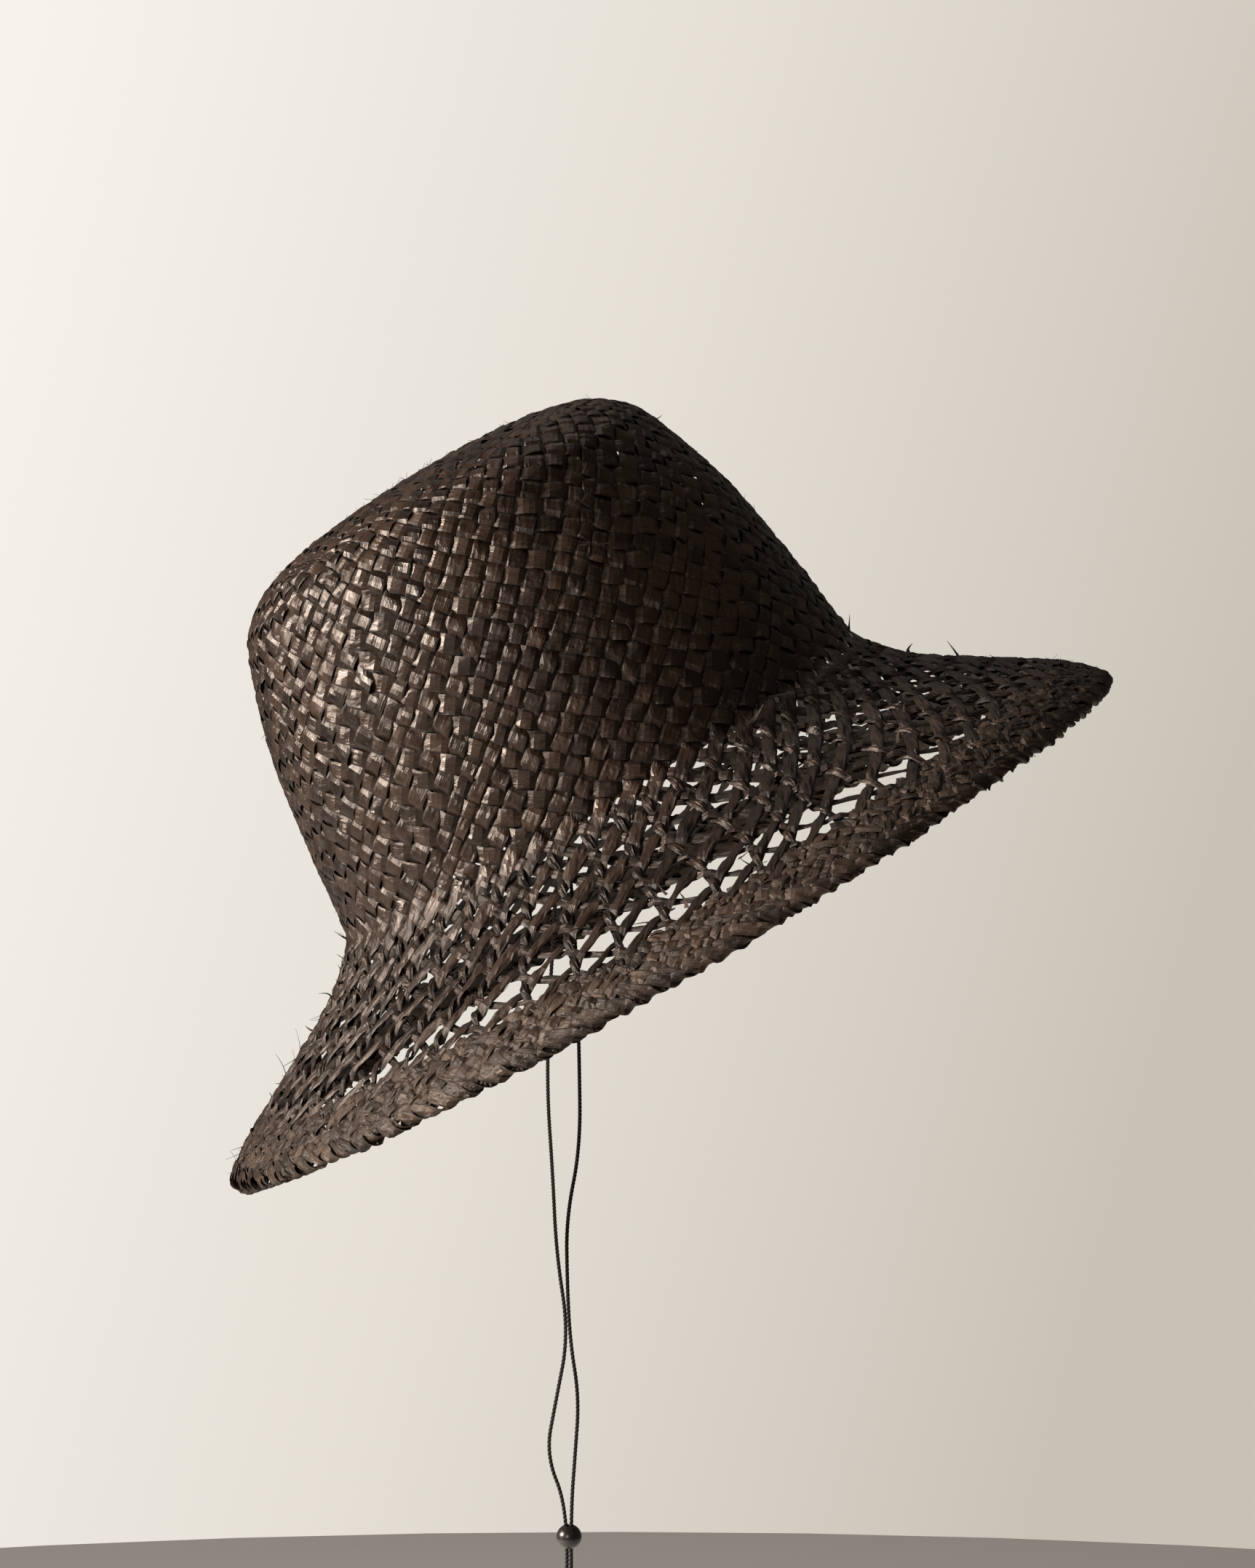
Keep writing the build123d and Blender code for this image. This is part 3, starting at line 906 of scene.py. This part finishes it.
# ---- tabs, the knots that hang from them, and their stitches
TAB_WIDTH, TAB_THICK, TAB_TALL, TAB_LOW, TAB_FORWARD = 8, 1.0, 18.5, -4.5, 18
TAB_CORNER = 1.5  # how far in from its sides the tab's lower corners start to round
TAB_HOLE, TAB_CUT = 1.35, 0.95  # radius of the hole's edge, and of the cloth that is left out for it
CLOTH = 0.4  # thickness of each of the tab's two layers
BAR_ROWS, BAR_STEP, BAR_LOW, BAR_ASIDE = 4, 2.2, 9, 2  # stitches through the tab
BAR_HALF, BAR_THREAD = 1.3, 0.22  # half length and radius of one of them
LOOP, KNOT = 2.3, 1.9  # radius of the cord's loop through the tab, and of the knot below it
TURNS_RADIUS, TURNS_PITCH = 0.6, 4.2  # the cord where it is knotted


def trefoil(radius):
    """A closed overhand knot about the origin."""
    t = np.linspace(0, 2 * math.pi, 60)
    line = np.stack([np.sin(t) + 2 * np.sin(2 * t), np.cos(t) - 2 * np.cos(2 * t), -np.sin(3 * t)], axis=1)
    return line * radius / 3


def to_hat_frame(place):
    """A place in the row frame, in metres, in the hat's own frame, in millimetres."""
    x, y, z = np.array(place).T / MM
    u = x * math.cos(LEAN) + z * math.sin(LEAN)
    h = z * math.cos(LEAN) - x * math.sin(LEAN)
    return np.stack([u, y, h], axis=-1)


def make_tab(side, turn, half):
    """A folded ribbon with a hole near its fold, seen from both faces."""
    columns, rows = 17, 33
    place, inward, sideways = on_oval(half, turn, TAB_LOW)
    mesh = bmesh.new()
    grid = {}
    for layer in (-1, 1):
        for i in range(columns):
            for j in range(rows):
                across = (i / (columns - 1) - 0.5) * TAB_WIDTH
                up = j / (rows - 1) * TAB_TALL
                corner = max(0, abs(across) - TAB_WIDTH / 2 + TAB_CORNER) * max(0, TAB_CORNER - up) * 0.4
                apart = layer * TAB_THICK * 0.27 * min(1, (up / 1.2) ** 0.5) + 0.05 * (j % 2) * layer
                point = place + across * sideways + apart * inward + np.array([0, 0, up + corner])
                radius = math.hypot(across, up - LOOP)
                if 0 < radius < TAB_HOLE:
                    from_hole = across * sideways + np.array([0, 0, up - LOOP])
                    point = point + from_hole * (TAB_HOLE / radius - 1)
                grid[layer, i, j] = mesh.verts.new(lean(point))
    for layer in (-1, 1):
        for i in range(columns - 1):
            for j in range(rows - 1):
                across = ((i + 0.5) / (columns - 1) - 0.5) * TAB_WIDTH
                up = (j + 0.5) / (rows - 1) * TAB_TALL - LOOP
                if math.hypot(across, up) > TAB_CUT:
                    corners = [(i, j), (i + 1, j), (i + 1, j + 1), (i, j + 1)]
                    mesh.faces.new([grid[layer, a, b] for a, b in corners[::layer]])
    bmesh.ops.remove_doubles(mesh, verts=mesh.verts[:], dist=1e-6)
    bmesh.ops.recalc_face_normals(mesh, faces=mesh.faces[:])
    data = bpy.data.meshes.new(f"tab_{side}")
    mesh.to_mesh(data)
    mesh.free()
    data.materials.append(RIBBON_LOOK)
    tab = bpy.data.objects.new(f"tab_{side}", data)
    bpy.context.collection.objects.link(tab)
    thicken = tab.modifiers.new("cloth_thickness", "SOLIDIFY")
    thicken.thickness = CLOTH * MM
    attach(tab, "hat")
    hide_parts(f"cord_tab_{side}")


tab_inset = RIBBON_LEAN * (TAB_LOW + TAB_TALL - RIBBON_LOW)
tab_half = RIBBON_HALF - tab_inset - (TAB_THICK / 2 + 2 * CLEAR) / OVAL
tab_turn = math.acos(-TAB_FORWARD / tab_half)
for side, turn in (("left", -tab_turn), ("right", tab_turn)):
    make_tab(side, turn, tab_half)
    place, inward, sideways = on_oval(tab_half, turn, TAB_LOW)
    bars = Bundle()
    for row in range(BAR_ROWS):
        for x in (-BAR_ASIDE, BAR_ASIDE):
            step = np.linspace(-1, 1, 9)
            up = np.array([0, 0, BAR_LOW + BAR_STEP * row])
            middle = place + x * sideways + up + (TAB_THICK / 2 + 0.1) * inward
            line = middle + BAR_HALF * step[:, None] * sideways + (0.15 - 0.3 * step**4)[:, None] * inward
            thread_tube(bars, line, BAR_THREAD)
    bars.mesh(
        f"tab_thread_{side}", THREAD_LOOK, slot="thread", stands_for=(f"tab_stitches_{side}",), smooth=True
    )
    tied = Bundle()
    ring = np.linspace(0, 2 * math.pi, 40)
    circle = place + LOOP * (np.cos(ring)[:, None] * inward + np.sin(ring)[:, None] * np.array([0, 0, 1]))
    centre = place - np.array([0, 0, LOOP + KNOT / 2])
    across = trefoil(KNOT * 0.72)
    along = trefoil(KNOT * 0.62)[:, [2, 0, 1]]
    for line in (circle, centre + across, centre + along):
        thread_tube(tied, line, TURNS_RADIUS, plies=3, pitch=TURNS_PITCH)
    tied.mesh(
        f"anchor_knot_{side}_tied",
        BRAID_LOOK,
        slot="braid",
        stands_for=(f"anchor_knot_{side}",),
        smooth=True,
    )


# ---- the chin cord
def route_line(name, route):
    """Points along the smooth line that a route's points shape, in metres."""
    curve = bpy.data.curves.new(name, "CURVE")
    curve.dimensions = "3D"
    curve.resolution_u = 40
    spline = curve.splines.new("NURBS")
    spline.points.add(len(route) - 1)
    for point, place in zip(spline.points, route):
        point.co = (*place, 1)
    spline.order_u = 3
    spline.use_endpoint_u = True
    holder = bpy.data.objects.new(name, curve)
    line = bpy.data.meshes.new_from_object(holder)
    points = np.array([vertex.co[:] for vertex in line.vertices])
    bpy.data.meshes.remove(line)
    bpy.data.objects.remove(holder)
    bpy.data.curves.remove(curve)
    return points


def evenly(points, spacing):
    """The line with points at even distances."""
    along = run_along(points)
    even = np.linspace(0, along[-1], round(along[-1] / spacing))
    return np.stack([np.interp(even, along, points[:, i]) for i in range(3)], axis=1)


def braid(bundle, line, radius, pitch=4.4, strands=3, sides=8):
    """A flat-round braid along line, in metres: strands that pass over and under each other."""
    along = run_along(line) / MM
    forward = unit(np.gradient(line, axis=0))
    aside = unit(np.cross(np.broadcast_to([0.0, 1.0, 0.0], line.shape), forward))
    other = np.cross(forward, aside)
    strand = radius * 0.6
    for k in range(strands):
        angle = 2 * math.pi * (along / pitch + k / strands)
        swing, depth = (radius - strand) * np.cos(angle), (radius - strand) * 0.8 * np.sin(2 * angle)
        centre = line + aside * swing[:, None] + other * depth[:, None]
        ring = 2 * math.pi * np.arange(sides) / sides
        rows = [centre + strand * (aside * math.cos(a) + other * math.sin(a)) for a in ring]
        bundle.add(np.stack(rows, axis=1), along, rng.uniform(), np.cos(ring))


STOP_AT = (-0.0093, 0, -0.292)  # middle of the stop knot, in metres
stop = Bundle()
for shift, size in ((0.0, 1.75), (0.45, 1.6)):
    knotted = to_hat_frame(STOP_AT) + trefoil(size)[:, [0, 2, 1]] * np.array([1, 1, 1.15]) + shift
    thread_tube(stop, knotted, 0.75, plies=3, pitch=TURNS_PITCH)
stop_knot = stop.mesh("stop_knot", BRAID_LOOK, slot="braid", stands_for=("end_knot",), smooth=True)

for side, route in (("left", LEFT_ROUTE), ("right", RIGHT_ROUTE)):
    points = route_line(f"route_{side}", route)
    line = evenly(points, 0.0004)
    cord_bundle = Bundle()
    braid(cord_bundle, line, CORD / 2)
    cord = cord_bundle.mesh(
        f"cord_{side}", BRAID_LOOK, slot="braid", stands_for=(f"chin_cord_{side}",), smooth=True
    )


BEAD, BEAD_BORE, BEAD_SOFT = 8.9, 3.2, 0.35  # its diameter, its hole's, and the rounding of the hole's edges
BEAD_AT = (-0.0093, 0, -0.2685)  # its middle, in metres


def make_bead():
    """A turned wooden bead with a rounded bore."""
    radius, bore, soft = BEAD / 2, BEAD_BORE / 2, BEAD_SOFT
    top = math.sqrt(radius**2 - (bore + soft) ** 2)
    angles = np.linspace(-1, 1, 41) * math.asin(top / radius)
    outer = [(radius * math.cos(a), radius * math.sin(a)) for a in angles]
    angles = np.linspace(0.3, 1.57, 6)
    rim = [(bore + soft * (1 - math.sin(a)), top - soft * (1 - math.cos(a))) for a in angles]
    wall = [(bore, h) for h in np.linspace(top - soft, -top + soft, 9)[1:-1]]
    profile = outer + rim + wall + [(r, -h) for r, h in reversed(rim)]
    sides = 72
    rows = []
    for i in range(sides + 1):
        angle = 2 * math.pi * i / sides
        ring = [(r * math.cos(angle), r * math.sin(angle), h) for r, h in profile]
        rows.append(np.array(ring) * MM + np.array(BEAD_AT))
    data = bpy.data.meshes.new("bead")
    shape = bmesh.new()
    grid = [[shape.verts.new(p) for p in row] for row in rows[:-1]]
    for a, b in zip(grid, grid[1:] + grid[:1]):
        for i in range(len(profile)):
            j = (i + 1) % len(profile)
            shape.faces.new([a[i], b[i], b[j], a[j]])
    bmesh.ops.recalc_face_normals(shape, faces=shape.faces[:])
    for face in shape.faces:
        face.smooth = True
    shape.to_mesh(data)
    shape.free()
    data.materials.append(BEAD_LOOK)
    bead = bpy.data.objects.new("bead", data)
    bpy.context.collection.objects.link(bead)
    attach(bead, "slider")
    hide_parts("slider_bead")


make_bead()

# ---- light, floor and backdrop
def make_stage():
    """A pale floor well below, a pale surround and soft light from the front left."""
    bpy.ops.mesh.primitive_circle_add(vertices=96, radius=3.0, fill_type="NGON", location=(0, 0, -1.0))
    floor = bpy.context.object
    floor.name = "floor"
    material, tree, shader = new_material("floor_pale")
    shader.inputs["Base Color"].default_value = (0.80, 0.77, 0.73, 1)
    shader.inputs["Roughness"].default_value = 0.8
    floor.data.materials.append(material)
    world = bpy.data.worlds.new("surround")
    bpy.context.scene.world = world
    world.use_nodes = True
    tree = world.node_tree
    direction = tree.nodes.new("ShaderNodeTexCoord").outputs["Generated"]
    parts = tree.nodes.new("ShaderNodeSeparateXYZ")
    tree.links.new(direction, parts.inputs[0])
    # Painted shade on the backdrop: the surround runs from pale at the left to deeper at the right and lower
    # down. Camera rays see it at strength 1.03, and it lights the hat at 0.16.
    sideways = maths(tree, "ADD", maths(tree, "MULTIPLY", parts.outputs["X"], 3.2), 0.5)
    sloping = maths(tree, "SUBTRACT", sideways, maths(tree, "MULTIPLY", parts.outputs["Z"], 0.9), True)
    pale, middle, deep = (0.90, 0.86, 0.80), (0.76, 0.72, 0.65), (0.56, 0.525, 0.455)
    colour = ramp(tree, sloping, [(0.0, pale), (0.5, middle), (1.0, deep)])
    background = tree.nodes["Background"]
    tree.links.new(colour, background.inputs["Color"])
    seen = tree.nodes.new("ShaderNodeLightPath").outputs["Is Camera Ray"]
    strength = maths(tree, "ADD", maths(tree, "MULTIPLY", seen, 0.87), 0.16)
    tree.links.new(strength, background.inputs["Strength"])
    for name, place, size, power, colour in (
        ("key", (-1.95, -0.45, 0.5), 0.5, 128, (1.0, 0.935, 0.87)),
        ("front", (-0.7, -2.2, 0.35), 0.8, 9.5, (1.0, 0.94, 0.88)),
        ("top", (-0.3, 0.5, 1.7), 1.0, 3, (1.0, 0.96, 0.92)),
    ):
        data = bpy.data.lights.new(name, "AREA")
        data.size = size
        data.energy = power
        data.color = colour
        light = bpy.data.objects.new(name, data)
        light.location = place
        light.rotation_mode = "QUATERNION"
        light.rotation_quaternion = (-Vector(place)).to_track_quat("-Z", "Y")
        bpy.context.collection.objects.link(light)
    bpy.context.scene.view_settings.view_transform = "Standard"


make_stage()
